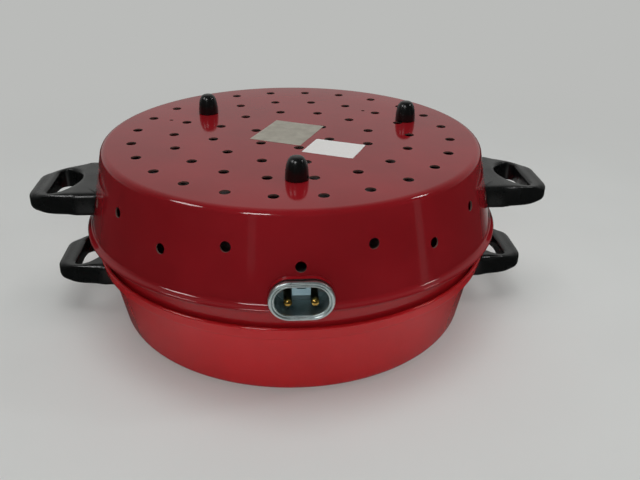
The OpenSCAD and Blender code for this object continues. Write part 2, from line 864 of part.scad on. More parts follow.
// Rivets with their front heads sunk in the insulator
module inlet_rivets() {
    color(steel_tone)
        for (s = [-1, 1]) {
            inlet_rod(s * inlet_rivet_x, insulator_front, inlet_rivet_head_h, inlet_rivet_head_d);
            inlet_rod(s * inlet_rivet_x, insulator_front, insulator_t + thin_sheet, inlet_rivet_d);
            inlet_rod(s * inlet_rivet_x, insulator_back - thin_sheet, inlet_rivet_head_h,
                inlet_rivet_head_d);
        }
}

// Flat strap that joins a contact pin's tail to a heater terminal
module link_strap(s) {
    color(brass_tone)
        difference() {
            translate([0, -pin_shoulder, inlet_z])
                rotate([-90, 0, 0])
                    linear_extrude(thin_sheet) {
                        translate([s * pin_pitch / 2, 0])
                            circle(d = strap_h);
                        translate([s * heater_leg_x, 0])
                            circle(d = strap_h);
                        translate([s * (pin_pitch / 2 + heater_leg_x) / 2, 0])
                            square([heater_leg_x - pin_pitch / 2, strap_h], center = true);
                    }
            inlet_rod(s * pin_pitch / 2, pin_shoulder + cut_over, thin_sheet + 2 * cut_over,
                tail_d + 2 * thread_gap);
            inlet_rod(s * heater_leg_x, pin_shoulder + cut_over, thin_sheet + 2 * cut_over,
                leg_stud_d + 2 * thread_gap);
        }
}

module link_strap_left() link_strap(-1);
module link_strap_right() link_strap(1);

module terminal_nuts() {
    color(brass_tone)
        for (s = [-1, 1]) {
            difference() {
                inlet_nut(s * pin_pitch / 2, strap_y, leg_nut_h, tail_nut_across);
                inlet_rod(s * pin_pitch / 2, strap_y + cut_over, leg_nut_h + 2 * cut_over,
                    tail_d + 2 * thread_gap);
            }
            difference() {
                inlet_nut(s * heater_leg_x, pin_shoulder + leg_nut_h, leg_nut_h, leg_nut_across);
                inlet_rod(s * heater_leg_x, pin_shoulder + leg_nut_h + cut_over, leg_nut_h + 2 * cut_over,
                    leg_stud_d + 2 * thread_gap);
            }
        }
}

module flat_label(place, turn, size) {
    translate([place[0], place[1], lid_top_z])
        rotate([0, 0, turn])
            translate([-size[0] / 2, -size[1] / 2, 0])
                cube([size[0], size[1], foil_t]);
}

module rating_plate() {
    color(foil_tone)
        flat_label([plate_x, plate_y], plate_turn, [plate_l, plate_w]);
}

module paper_label() {
    color(paper_tone)
        flat_label([label_x, label_y], label_turn, [label_l, label_w]);
}

pan_shell();
pan_handle_left();
pan_handle_right();
pan_handle_screws();
pan_handle_inserts();
lid_shell();
lid_handle_left();
lid_handle_right();
lid_handle_screws();
lid_handle_inserts();
foot_front();
foot_right();
foot_left();
foot_studs();
reflector_spacers();
reflector_plate();
reflector_nuts();
heater_tube();
heater_bushes();
heater_terminals();
heater_clips();
heater_clip_rivets();
inlet_shroud();
inlet_insulator();
inlet_pin_left();
inlet_pin_right();
earth_contact();
inlet_bracket();
inlet_rivets();
link_strap_left();
link_strap_right();
terminal_nuts();
rating_plate();
paper_label();
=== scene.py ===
# %% [markdown]
# # A round electric grill, dressed in Blender
# The grill is an enamelled pan with a heating lid that stands in the pan's gallery and lifts off by
# hand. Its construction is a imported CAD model, which comes in as a fixed frame: every size and
# place below is taken from that frame or is a named size in millimetres. Blender only adds the
# looks: smooth pressed shells, moulded handles, and a real finish on every surface.

# %% Load the frame
import json
import math

import bmesh
import bpy
from mathutils import Matrix, Vector

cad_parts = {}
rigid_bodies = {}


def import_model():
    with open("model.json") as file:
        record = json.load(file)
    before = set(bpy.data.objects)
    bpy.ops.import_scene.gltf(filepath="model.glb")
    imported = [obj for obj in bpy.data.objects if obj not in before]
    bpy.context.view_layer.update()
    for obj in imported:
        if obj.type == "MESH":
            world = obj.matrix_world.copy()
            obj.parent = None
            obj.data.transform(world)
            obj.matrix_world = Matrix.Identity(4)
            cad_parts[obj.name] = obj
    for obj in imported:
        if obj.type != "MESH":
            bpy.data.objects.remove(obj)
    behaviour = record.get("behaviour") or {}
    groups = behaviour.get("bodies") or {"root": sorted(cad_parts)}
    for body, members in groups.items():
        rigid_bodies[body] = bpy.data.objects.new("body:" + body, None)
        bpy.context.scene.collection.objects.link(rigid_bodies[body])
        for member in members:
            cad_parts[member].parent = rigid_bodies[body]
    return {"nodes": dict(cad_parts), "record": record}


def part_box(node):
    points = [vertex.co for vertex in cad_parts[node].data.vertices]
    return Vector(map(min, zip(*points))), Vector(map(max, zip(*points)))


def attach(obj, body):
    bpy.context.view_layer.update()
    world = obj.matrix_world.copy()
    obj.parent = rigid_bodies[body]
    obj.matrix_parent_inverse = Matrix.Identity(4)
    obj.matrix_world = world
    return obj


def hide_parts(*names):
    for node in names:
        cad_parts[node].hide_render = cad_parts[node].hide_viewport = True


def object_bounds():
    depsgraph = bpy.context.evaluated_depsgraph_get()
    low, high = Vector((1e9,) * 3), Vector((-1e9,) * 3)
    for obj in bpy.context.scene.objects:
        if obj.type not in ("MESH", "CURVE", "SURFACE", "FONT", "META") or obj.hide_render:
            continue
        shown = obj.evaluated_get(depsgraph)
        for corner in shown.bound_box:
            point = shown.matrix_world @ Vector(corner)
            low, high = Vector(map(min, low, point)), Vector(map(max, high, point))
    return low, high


for leftover in list(bpy.data.objects):
    bpy.data.objects.remove(leftover)
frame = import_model()
cad_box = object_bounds()
MM = 0.001
print("CAD box in mm:", [[round(c / MM, 1) for c in corner] for corner in cad_box])

# %% [markdown]
# ## The camera
# The photograph was taken from in front and above. A camera can be placed by eye, but here it was
# fitted to the four rings of vents, whose circles give the viewing angle, and to the two contact
# pins, whose common spacing of 19 mm gives the distance. What is left is a place, a point looked
# at, a small roll and the focal length, which Blender counts in millimetres on a 36 mm wide sensor.
# The Standard view transform shows each colour as it is written, where the others would bend it
# like film.

# %% Camera
CAMERA_AT = Vector((-19.0, -604.7, 358.2)) * MM
CAMERA_LOOKS_AT = Vector((17.1, -112.3, 110.0)) * MM
CAMERA_ROLL = 0.62
PHOTO_WIDTH_PX = 640
FOCAL_LENGTH_PX = 721.7
SENSOR_WIDTH = 36.0
NEAREST_SEEN = 10

camera_data = bpy.data.cameras.new("photo_camera")
camera_data.sensor_width = SENSOR_WIDTH
camera_data.lens = FOCAL_LENGTH_PX / PHOTO_WIDTH_PX * SENSOR_WIDTH
camera_data.clip_start = NEAREST_SEEN * MM
camera = bpy.data.objects.new("photo_camera", camera_data)
bpy.context.scene.collection.objects.link(camera)
aim = (CAMERA_LOOKS_AT - CAMERA_AT).to_track_quat("-Z", "Y").to_matrix().to_4x4()
roll = Matrix.Rotation(math.radians(CAMERA_ROLL), 4, "Z")
camera.matrix_world = Matrix.Translation(CAMERA_AT) @ aim @ roll
bpy.context.scene.camera = camera
bpy.context.scene.view_settings.view_transform = "Standard"
print("lens in mm:", round(camera_data.lens, 2))

# %% [markdown]
# ## Helpers for colour and nodes
# Shaders work with linear light, while a colour given here is an sRGB hex value, so one function
# turns one into the other. A second one adds a node of any kind, sets its properties and links its
# inputs, so that a material reads as a short list of nodes. The others start a material, turn a
# size in millimetres into a pattern's scale, and link the finished patterns to the shader.

# %% Colour helper
def linear(hex_colour):
    """The linear RGBA colour of an sRGB hex value such as #8a1017."""
    shares = [int(hex_colour[i:i + 2], 16) / 255 for i in (1, 3, 5)]
    light = [s / 12.92 if s <= 0.04045 else ((s + 0.055) / 1.055) ** 2.4 for s in shares]
    return (*light, 1.0)


print("mid grey in linear light:", [round(c, 3) for c in linear("#808080")])

# %% Node helpers
def add_node(tree, kind, inputs=None, stops=(), **settings):
    """Adds a node. An input is a value, a socket to link, or a node whose first output is linked.

    The stops are those of a colour ramp, each a (position, hex colour)."""
    node = tree.nodes.new(kind)
    for name, value in settings.items():
        setattr(node, name, value)
    for name, value in (inputs or {}).items():
        source = value.outputs[0] if isinstance(value, bpy.types.Node) else value
        if isinstance(source, bpy.types.NodeSocket):
            tree.links.new(source, node.inputs[name])
        else:
            node.inputs[name].default_value = source
    for i, (position, colour) in enumerate(stops):
        node.color_ramp.elements[i].position = position
        node.color_ramp.elements[i].color = linear(colour)
    return node


def new_material(name):
    """An empty material: its node tree, its Principled shader and the object's own coordinates."""
    material = bpy.data.materials.new(name)
    material.use_nodes = True
    tree = material.node_tree
    shader = tree.nodes["Principled BSDF"]
    place = add_node(tree, "ShaderNodeTexCoord").outputs["Object"]
    return material, tree, shader, place


def per_metre(size):
    """The scale of a pattern whose lumps are about `size` millimetres wide."""
    return 1 / (size * MM)


def dress(tree, shader, colour, roughness, height, strength, depth):
    """Links nodes for colour, roughness and a bump of `depth` millimetres to a shader."""
    bump = add_node(tree, "ShaderNodeBump", {"Height": height, "Strength": strength,
                                             "Distance": depth * MM})
    for node, name in ((colour, "Base Color"), (roughness, "Roughness"), (bump, "Normal")):
        tree.links.new(node.outputs[0], shader.inputs[name])


print("helpers ready")

# %% [markdown]
# ## Light
# The object stands under soft studio light. A dome of even grey light could do it alone, but gloss
# needs something to reflect, so the work is shared out. A key lamp in front and a wide softbox
# above only light the object. Two windows are only mirrored: they are the highlights on the domed
# feet, along the lid's edge and in the crease above its bead. So are two narrow strips, which give
# the faint upright bands on the wall. One small softbox at the right does both. The sky is paler
# towards the back, as a studio backdrop is, and that is what the glossy top of the lid mirrors at
# its flat angle.

# %% World
BACKDROP_GREY = "#babbb9"
ROOM_GREY = "#3c3f3e"
BACKDROP_LIGHT = 0.92
BACKDROP_EDGE = (0.0, 0.75)

world = bpy.data.worlds.new("studio")
world.use_nodes = True
bpy.context.scene.world = world
sky = world.node_tree
sky.nodes.clear()
towards = add_node(sky, "ShaderNodeTexCoord").outputs["Generated"]
axes = add_node(sky, "ShaderNodeSeparateXYZ", {"Vector": towards})
backness = add_node(sky, "ShaderNodeMapRange", {
    "Value": axes.outputs["Y"], "From Min": BACKDROP_EDGE[0], "From Max": BACKDROP_EDGE[1]})
room = add_node(sky, "ShaderNodeValToRGB", {"Fac": backness},
                stops=((0.0, ROOM_GREY), (1.0, BACKDROP_GREY)))
rays = add_node(sky, "ShaderNodeLightPath")
seen = add_node(sky, "ShaderNodeBackground", {"Color": linear(BACKDROP_GREY), "Strength": 1.0})
lit = add_node(sky, "ShaderNodeBackground", {"Color": room, "Strength": BACKDROP_LIGHT})
both = add_node(sky, "ShaderNodeMixShader", {0: rays.outputs["Is Camera Ray"], 1: lit, 2: seen})
add_node(sky, "ShaderNodeOutputWorld", {"Surface": both})
print("world:", world.name)

# %% Lamps
# Place and size in millimetres, power in watts, and what the lamp is for
LAMPS = {
    "front_key": ((0, -1730, 1050), (1200, 420), 7.6, "lit"),
    "front_window": ((-610, -1380, 1420), (420, 420), 6.5, "mirrored"),
    "left_window": ((-1440, -470, 1420), (500, 420), 6.5, "mirrored"),
    "right_softbox": ((1460, -150, 1250), (110, 300), 2.2, "both"),
    "top_softbox": ((0, -150, 2400), (1700, 1300), 23.0, "lit"),
    "right_strip": ((465, -274, 150), (40, 300), 0.007, "mirrored"),
    "left_strip": ((-620, -1500, 420), (120, 800), 0.04, "mirrored"),
}


def add_lamp(name, place, size, power, use):
    """A soft lamp aimed at the object, which lights it, is mirrored in it, or both."""
    lamp = bpy.data.lights.new(name, "AREA")
    lamp.shape = "RECTANGLE"
    lamp.size, lamp.size_y = (s * MM for s in size)
    lamp.energy = power
    holder = bpy.data.objects.new(name, lamp)
    bpy.context.scene.collection.objects.link(holder)
    holder.location = Vector(place) * MM
    holder.visible_camera = False
    holder.visible_glossy = use != "lit"
    holder.visible_diffuse = use != "mirrored"
    middle = (cad_box[0] + cad_box[1]) / 2
    holder.rotation_euler = (middle - holder.location).to_track_quat("-Z", "Y").to_euler()


for lamp_name, lamp_values in LAMPS.items():
    add_lamp(lamp_name, *lamp_values)
print("lamps:", list(LAMPS))

# %% [markdown]
# ## Helpers for meshes
# Pressed and moulded pieces are all made the same way here: as a stack of closed loops of points,
# each with the same number of points, joined by rows of quads. A turned piece is such a stack of
# circles, a handle is a stack of its outlines, and the inlet's collar is a stack of stadium shapes.
# The alternative, a primitive with modifiers, gives less say over each edge radius.

# %% Mesh helpers
SHARP_ANGLE = math.radians(38)
ONE_SPOT = 1e-4


def finish_mesh(name, mesh, *materials):
    """Wraps a mesh in an object with smooth faces, keeping edges sharper than SHARP_ANGLE crisp."""
    for material in materials:
        mesh.materials.append(material)
    mesh.polygons.foreach_set("use_smooth", [True] * len(mesh.polygons))
    mesh.set_sharp_from_angle(angle=SHARP_ANGLE)
    piece = bpy.data.objects.new(name, mesh)
    bpy.context.scene.collection.objects.link(piece)
    return piece


def loft(name, loops, closed=False):
    """A mesh from loops of points in millimetres; open ends are capped."""
    shape = bmesh.new()
    rings = [[shape.verts.new(Vector(p) * MM) for p in loop] for loop in loops]
    pairs = list(zip(rings, rings[1:])) + ([(rings[-1], rings[0])] if closed else [])
    for low, high in pairs:
        for i in range(len(low)):
            j = (i + 1) % len(low)
            shape.faces.new((low[i], low[j], high[j], high[i]))
    if not closed:
        shape.faces.new(rings[0][::-1])
        shape.faces.new(rings[-1])
    bmesh.ops.remove_doubles(shape, verts=shape.verts, dist=ONE_SPOT * MM)
    bmesh.ops.recalc_face_normals(shape, faces=shape.faces)
    mesh = bpy.data.meshes.new(name)
    shape.to_mesh(mesh)
    shape.free()
    return mesh


def circle(radius, z, count):
    """Points of a level circle about the Z axis."""
    turns = [2 * math.pi * i / count for i in range(count)]
    return [(radius * math.cos(t), radius * math.sin(t), z) for t in turns]


print("mesh helpers ready")

# %% Rounded outlines
def arc(middle, radius, start, end, steps):
    """Points on an arc, with angles in degrees."""
    angles = [math.radians(start + (end - start) * i / steps) for i in range(steps + 1)]
    return [(middle[0] + radius * math.cos(a), middle[1] + radius * math.sin(a)) for a in angles]


def rounded(corners, radii, steps=8, closed=False):
    """An outline whose corners are arcs tangent to both edges."""
    points = []
    for i, (corner, radius) in enumerate(zip(corners, radii)):
        here = Vector(corner)
        if radius == 0 or (not closed and i in (0, len(corners) - 1)):
            points.append(tuple(here))
            continue
        to_last = (Vector(corners[i - 1]) - here).normalized()
        to_next = (Vector(corners[(i + 1) % len(corners)]) - here).normalized()
        half = to_last.angle(to_next) / 2
        middle = here + (to_last + to_next).normalized() * radius / math.sin(half)
        start = here + to_last * radius / math.tan(half) - middle
        end = here + to_next * radius / math.tan(half) - middle
        turn = start.angle_signed(end)
        for k in range(steps + 1):
            swing = Matrix.Rotation(-turn * k / steps, 2)
            points.append(tuple(middle + swing @ start))
    return points


def moved_sideways(points, distance, closed=False):
    """An outline moved to its left by a distance."""
    moved = []
    last = len(points) - 1
    for i, point in enumerate(points):
        before = Vector(points[i - 1] if closed or i > 0 else point)
        after = Vector(points[(i + 1) % len(points)] if closed or i < last else point)
        along = (after - before).normalized()
        moved.append((point[0] - along.y * distance, point[1] + along.x * distance))
    return moved


print("outline helpers ready")

# %% [markdown]
# ## Vitreous enamel
# Both shells are pressed steel with a fired glass coat: vitreous enamel. Glass has an IOR of about
# 1.5 and a nearly mirror-smooth skin, so the look is a deep saturated red under sharp reflections.
# Three things keep it from looking like plastic: a very faint orange peel from the firing, soft
# clouds of a slightly different red where the coat is thicker, and faint smears of handling that
# only change the roughness. On the lid the skirt below the bead is painted a brighter red than
# the wall: painted light that stands in for the light under the bead, by a ramp along the height.

# %% Enamel
# Pattern sizes, depths and heights in millimetres
CLOUD_SIZE = 70
SMEAR_SIZE = 28
PEEL_SIZE = 5
PEEL_DEPTH = 0.03
GLASS_IOR = 1.5
# Painted light: below a height the lid's skirt is painted a brighter red, blended over these spans
PAINTED_LIGHT_ABOVE = 2
PAINTED_LIGHT_BELOW = 4
LID_SKIRT_PAINTED_LIGHT = (84.0, "#b01d24")


def vitreous_enamel(name, thin, thick, gloss, skirt_light=None):
    """Fired glass coat, thin and thick. The last argument is (height, hex colour) of painted light:
    below that height the coat is painted a brighter red.
    """
    material, tree, shader, place = new_material(name)
    cloud = add_node(tree, "ShaderNodeTexNoise", {
        "Vector": place, "Scale": per_metre(CLOUD_SIZE), "Detail": 3.0})
    coat = add_node(tree, "ShaderNodeValToRGB", {"Fac": cloud}, stops=((0.35, thin), (0.65, thick)))
    # Painted light: below the given height the coat turns a brighter red
    if skirt_light:
        edge, painted_light_colour = skirt_light
        height = add_node(tree, "ShaderNodeSeparateXYZ", {"Vector": place}).outputs["Z"]
        share = add_node(tree, "ShaderNodeMapRange", {
            "Value": height, "From Min": (edge - PAINTED_LIGHT_BELOW) * MM, "To Min": 1.0,
            "From Max": (edge + PAINTED_LIGHT_ABOVE) * MM, "To Max": 0.0},
            interpolation_type="SMOOTHSTEP")
        coat = add_node(tree, "ShaderNodeMixRGB", {"Fac": share, "Color1": coat,
                                                   "Color2": linear(painted_light_colour)})
    smear = add_node(tree, "ShaderNodeTexNoise", {
        "Vector": place, "Scale": per_metre(SMEAR_SIZE), "Detail": 6.0, "Roughness": 0.65,
        "Distortion": 0.8})
    roughness = add_node(tree, "ShaderNodeMapRange", {
        "Value": smear, "From Min": 0.4, "To Min": gloss, "From Max": 0.75, "To Max": gloss + 0.1})
    peel = add_node(tree, "ShaderNodeTexNoise", {
        "Vector": place, "Scale": per_metre(PEEL_SIZE), "Detail": 1.0})
    shader.inputs["IOR"].default_value = GLASS_IOR
    dress(tree, shader, coat, roughness, peel, 0.25, PEEL_DEPTH)
    return material


LID_ENAMEL = vitreous_enamel("deep_red_vitreous_enamel", "#981a22", "#8c171e", 0.06, LID_SKIRT_PAINTED_LIGHT)
# The pan's red is brighter than the lid's: in part painted light, for light bounced up from the
# floor
PAN_ENAMEL = vitreous_enamel("bright_red_enamel_and_painted_bounce", "#d82129", "#cc1e24", 0.1)
print("enamels:", LID_ENAMEL.name, PAN_ENAMEL.name)

# %% [markdown]
# ## Moulded phenolic
# Handles and feet are black phenolic resin, compression moulded in a polished tool. It comes out
# glossy, with a fine grain from its wood-flour filler and, after some use, dull patches on the
# faces that hands touch.

# %% Phenolic
# In millimetres. Wood flour is some 0.2 mm fine, so its grain is drawn coarser to show
FILLER_GRAIN = 0.8
FILLER_DEPTH = 0.04
WORN_PATCH = 22
PHENOLIC_IOR = 1.53


def moulded_phenolic(name):
    """Black thermoset resin with a fine filler grain and hand-worn dull patches."""
    material, tree, shader, place = new_material(name)
    grain = add_node(tree, "ShaderNodeTexNoise", {
        "Vector": place, "Scale": per_metre(FILLER_GRAIN), "Detail": 3.0})
    tone = add_node(tree, "ShaderNodeValToRGB", {"Fac": grain},
                    stops=((0.3, "#0b0c0c"), (0.75, "#141515")))
    wear = add_node(tree, "ShaderNodeTexNoise", {
        "Vector": place, "Scale": per_metre(WORN_PATCH), "Detail": 4.0})
    roughness = add_node(tree, "ShaderNodeMapRange", {
        "Value": wear, "From Min": 0.35, "To Min": 0.2, "From Max": 0.7, "To Max": 0.36})
    shader.inputs["IOR"].default_value = PHENOLIC_IOR
    dress(tree, shader, tone, roughness, grain, 0.12, FILLER_DEPTH)
    return material


PHENOLIC = moulded_phenolic("moulded_black_phenolic")
print("resin:", PHENOLIC.name)

# %% [markdown]
# ## Metals
# Every bare metal here is the same recipe with other numbers: full metallic, a colour that drifts a
# little, and fine scratches whose direction tells how it was worked. Plated sheet has a cloudy
# bright skin, turned brass has rings round its axis, and the heater's sheath is dark with oxide
# from the heat. The brass pins are painted darker behind their tips: painted shade for the socket's
# shadow on their shanks.

# %% Metals
# In millimetres. Real scratches are under 0.1 mm wide, so each grain below is drawn coarser
DRIFT_SIZE = 9
SCRATCH_DEPTH = 0.01
# Share of its colour that the brass keeps where it is painted darker, as painted shade
SHADED_SHARE = 0.1


def worked_metal(name, light, dark, roughness, grain, stretch=(1, 1, 1), shade_span=None):
    """Metal with scratches drawn out by `stretch`. The last argument is the span along Y over which
    its colour is painted darker, as painted shade.
    """
    material, tree, shader, place = new_material(name)
    drawn = add_node(tree, "ShaderNodeMapping", {"Vector": place, "Scale": stretch})
    scratch = add_node(tree, "ShaderNodeTexNoise", {
        "Vector": drawn, "Scale": per_metre(grain), "Detail": 4.0})
    drift = add_node(tree, "ShaderNodeTexNoise", {
        "Vector": place, "Scale": per_metre(DRIFT_SIZE), "Detail": 5.0})
    tone = add_node(tree, "ShaderNodeValToRGB", {"Fac": drift}, stops=((0.35, dark), (0.65, light)))
    # Painted shade: behind the span along Y the colour is darkened to a small share
    if shade_span:
        depth = add_node(tree, "ShaderNodeSeparateXYZ", {"Vector": place}).outputs["Y"]
        share = add_node(tree, "ShaderNodeMapRange", {
            "Value": depth, "From Min": shade_span[0] * MM, "To Min": 1.0,
            "From Max": shade_span[1] * MM, "To Max": SHADED_SHARE}, interpolation_type="SMOOTHSTEP")
        tone = add_node(tree, "ShaderNodeVectorMath", {0: tone, "Scale": share}, operation="SCALE")
    rough = add_node(tree, "ShaderNodeMapRange", {
        "Value": scratch, "From Min": 0.3, "To Min": roughness * 0.75,
        "From Max": 0.7, "To Max": roughness * 1.35})
    shader.inputs["Metallic"].default_value = 1.0
    dress(tree, shader, tone, rough, scratch, 0.3, SCRATCH_DEPTH)
    return material


PIN_TIP_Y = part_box("inlet_pin_left")[0].y / MM
# In millimetres behind the pins' tips: painted shade darkens the brass from the first to the second
LIT_TIP_LENGTH = 2.5
FULL_SHADE_DEPTH = 6
ZINC_STEEL = worked_metal("zinc_plated_steel", "#c3c6c6", "#a7abac", 0.32, 1.2)
SHROUD_PLATE = worked_metal("bright_nickel_plated_sheet", "#e4eeee", "#cbd8d8", 0.34, 0.9)
BRASS = worked_metal("turned_brass", "#d8b463", "#b88c3e", 0.22, 0.4, (1, 6, 1),
                     (PIN_TIP_Y + LIT_TIP_LENGTH, PIN_TIP_Y + FULL_SHADE_DEPTH))
SPRING_STEEL = worked_metal("blued_spring_strip", "#bcd6df", "#9dbac6", 0.24, 0.7, (6, 1, 1))
ALUMINIUM = worked_metal("bright_rolled_aluminium", "#dfe1e2", "#cfd2d4", 0.25, 0.8, (8, 1, 1))
HEATER_STEEL = worked_metal("oxidised_heater_sheath", "#6b655d", "#4a4642", 0.5, 0.9)
print("metals ready")

# %% [markdown]
# ## Insulator, ceramic, foil and paper
# The inlet's insulator is a dull mineral-filled moulding, painted a light grey-teal: painted
# light for the light that reaches deep into its socket. A black ring round it is painted shadow
# in the gap over the collar. The heater's end bushes are unglazed ceramic, the blank plate is
# satin aluminium foil and the blank label is plain paper. The walls of the vent holes are painted
# a light brown, as painted highlight on the punched edges. Each differs from the others mostly in
# its roughness and in the size of its grain, so one function covers those that aren't metal.

# %% Dull materials
ROUGH_SPREAD = 0.08


def grained_solid(name, light, dark, roughness, grain, depth, ior):
    """A dull non-metal with a fine two-tone grain."""
    material, tree, shader, place = new_material(name)
    speckle = add_node(tree, "ShaderNodeTexNoise", {
        "Vector": place, "Scale": per_metre(grain), "Detail": 5.0})
    tone = add_node(tree, "ShaderNodeValToRGB", {"Fac": speckle}, stops=((0.3, dark), (0.7, light)))
    rough = add_node(tree, "ShaderNodeMapRange", {
        "Value": speckle, "To Min": roughness - ROUGH_SPREAD, "To Max": roughness + ROUGH_SPREAD})
    shader.inputs["IOR"].default_value = ior
    dress(tree, shader, tone, rough, speckle, 0.4, depth)
    return material


# Grain and depth in millimetres. Fibres and filler are finer, and are drawn coarser to show
# Painted light: the insulator is painted a light grey-teal so that the deep socket looks lit
PAINTED_LIT_INSULATOR = grained_solid("mineral_filled_moulding_painted_lit", "#7d9498", "#667a7e", 0.5, 0.6, 0.03, 1.55)
# Painted shadow: a black ring stands in for the dark gap above the inlet's collar
BLACK_SHADOW_PAINT = grained_solid("black_painted_shadow", "#0e0e0e", "#080808", 0.75, 0.5, 0.02, 1.42)
CERAMIC = grained_solid("unglazed_steatite", "#e9e4d8", "#d6cfbf", 0.75, 0.8, 0.05, 1.6)
# Painted highlight: a light brown on the walls of the vent holes stands in for lit punched edges
PAINTED_EDGE_HIGHLIGHT = grained_solid("brown_painted_edge_highlight", "#7d5f59", "#644843", 0.3, 0.8, 0.02, 1.5)
PAPER = grained_solid("matt_paper_sticker", "#f6f4f2", "#ebe9e7", 0.8, 0.7, 0.02, 1.5)
FOIL = worked_metal("satin_aluminium_foil", "#e2dccf", "#d0c9bc", 0.42, 0.5, (1, 7, 1))
print("dull materials ready")

# %% [markdown]
# ## The floor
# A plain pale floor carries the object and its shadow, and is far larger than the view, so no edge
# shows. Two tricks with the Light Path node keep it plain. To the camera, the floor fades into the
# backdrop's own grey with distance, so no horizon line shows. To mirror-like rays, only a patch in
# front and one at the right are pale and the rest is dim, as the room round a table is: that lights
# up the collar and the wall's right edge, and keeps the enamel's side deep red and not milky.

# %% Floor paint
FLOOR_HALF = 3000
PAINT_CLOUD = 180
floor_mesh = bpy.data.meshes.new("floor")
floor_mesh.from_pydata([(x * FLOOR_HALF * MM, y * FLOOR_HALF * MM, 0) for x, y in
                        ((-1, -1), (1, -1), (1, 1), (-1, 1))], [], [(0, 1, 2, 3)])
FLOOR_PAINT, tree, shader, place = new_material("matt_floor_paint")
cloud = add_node(tree, "ShaderNodeTexNoise", {
    "Vector": place, "Scale": per_metre(PAINT_CLOUD), "Detail": 2.0})
paint = add_node(tree, "ShaderNodeValToRGB", {"Fac": cloud},
                 stops=((0.3, "#eef0ee"), (0.7, "#f3f5f3")))
shader.inputs["Roughness"].default_value = 0.9
tree.links.new(paint.outputs[0], shader.inputs["Base Color"])
print("paint:", FLOOR_PAINT.name)

# %% Floor in the distance and in mirrors
# A spot, and two stops of (distance from it in millimetres, share that is faded or dim)
DISTANT_FLOOR = (Vector((40.0, -10.0, 0.0)), (250.0, 0.3), (900.0, 1.0))
FRONT_PATCH = (Vector((0.0, -270.0, 0.0)), (170.0, 0.15), (310.0, 1.0))
RIGHT_PATCH = (Vector((240.0, 270.0, 0.0)), (90.0, 0.4), (230.0, 1.0))
DIM_ROOM_GREY = "#2c2e2d"
FLOOR_DROP = 0.05


def far_from(spot, near, far):
    """A share between two stops, each a (distance from a spot in millimetres, share)."""
    away = add_node(tree, "ShaderNodeVectorMath", {0: place, 1: spot * MM}, operation="DISTANCE")
    return add_node(tree, "ShaderNodeMapRange", {
        "Value": away.outputs["Value"], "From Min": near[0] * MM, "To Min": near[1],
        "From Max": far[0] * MM, "To Max": far[1]}, interpolation_type="SMOOTHSTEP")


dimmed = add_node(tree, "ShaderNodeMath", {0: far_from(*FRONT_PATCH), 1: far_from(*RIGHT_PATCH)},
                  operation="MULTIPLY")
faded = far_from(*DISTANT_FLOOR)
path = add_node(tree, "ShaderNodeLightPath")
for_gloss = add_node(tree, "ShaderNodeMath", {0: path.outputs["Is Glossy Ray"], 1: dimmed},
                     operation="MULTIPLY")
for_camera = add_node(tree, "ShaderNodeMath", {0: path.outputs["Is Camera Ray"], 1: faded},
                      operation="MULTIPLY")
dim_room = add_node(tree, "ShaderNodeEmission", {"Color": linear(DIM_ROOM_GREY), "Strength": 1.0})
far_floor = add_node(tree, "ShaderNodeEmission", {"Color": linear(BACKDROP_GREY), "Strength": 1.0})
mirrored = add_node(tree, "ShaderNodeMixShader", {0: for_gloss, 1: shader, 2: dim_room})
viewed = add_node(tree, "ShaderNodeMixShader", {0: for_camera, 1: mirrored, 2: far_floor})
tree.links.new(viewed.outputs[0], tree.nodes["Material Output"].inputs["Surface"])
floor = finish_mesh("floor", floor_mesh, FLOOR_PAINT)
floor.location.z = -FLOOR_DROP * MM
print("floor is", 2 * FLOOR_HALF, "mm wide")

# %% [markdown]
# ## The lid's shell
# The lid is one deep-drawn sheet: a plain skirt, a bead, a sloping wall and a flat top. It is
# turned here from its profile, with the same sheet thickness all round, and then the vents are
# punched out with one boolean. The cutters carry a light brown that is painted highlight on the
# punched edges, and the boolean hands it on to the walls of the holes.

# %% Lid profile
SHEET = 1.2
TURN_STEPS = 256
skirt_z, lid_top_z = (corner.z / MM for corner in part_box("lid_shell"))
SKIRT_R = 168.2
SKIRT_HEIGHT = 24.0
BEAD_OUT = 15.2
BEAD_RISE = 4.5
BEAD_SLOPE = 3.0
BEAD_IN = 7.6
LID_TAPER = 14.0
SKIRT_BEND_R = 4
BEAD_TIP_R = 1.6
BEAD_ROOT_R = 4
TOP_EDGE_R = 6
TOP_ROWS_R = (120, 84, 50, 17, 0)
PROFILE_STEPS = 12
bead_r = SKIRT_R + BEAD_OUT
bead_z = skirt_z + SKIRT_HEIGHT + BEAD_RISE
wall_low = (bead_r - BEAD_IN, bead_z + BEAD_SLOPE)
wall_high = (wall_low[0] - LID_TAPER, lid_top_z)
lid_corners = [(SKIRT_R, skirt_z), (SKIRT_R, skirt_z + SKIRT_HEIGHT), (bead_r, bead_z), wall_low,
               wall_high] + [(r, lid_top_z) for r in TOP_ROWS_R]
lid_radii = [0, SKIRT_BEND_R, BEAD_TIP_R, BEAD_ROOT_R, TOP_EDGE_R] + [0] * len(TOP_ROWS_R)


def sheet_profile(outer, thickness):
    """A closed profile: the outer side, then the inner side back to the start."""
    return outer + moved_sideways(outer, thickness)[::-1]


def turned(name, profile):
    """A mesh turned about the Z axis from a closed profile of (radius, height)."""
    return loft(name, [circle(r, z, TURN_STEPS) for r, z in profile], closed=True)


lid_outer = rounded(lid_corners, lid_radii, PROFILE_STEPS)
lid_mesh = turned("lid_pressing", sheet_profile(lid_outer, SHEET))
print("lid faces before punching:", len(lid_mesh.polygons))

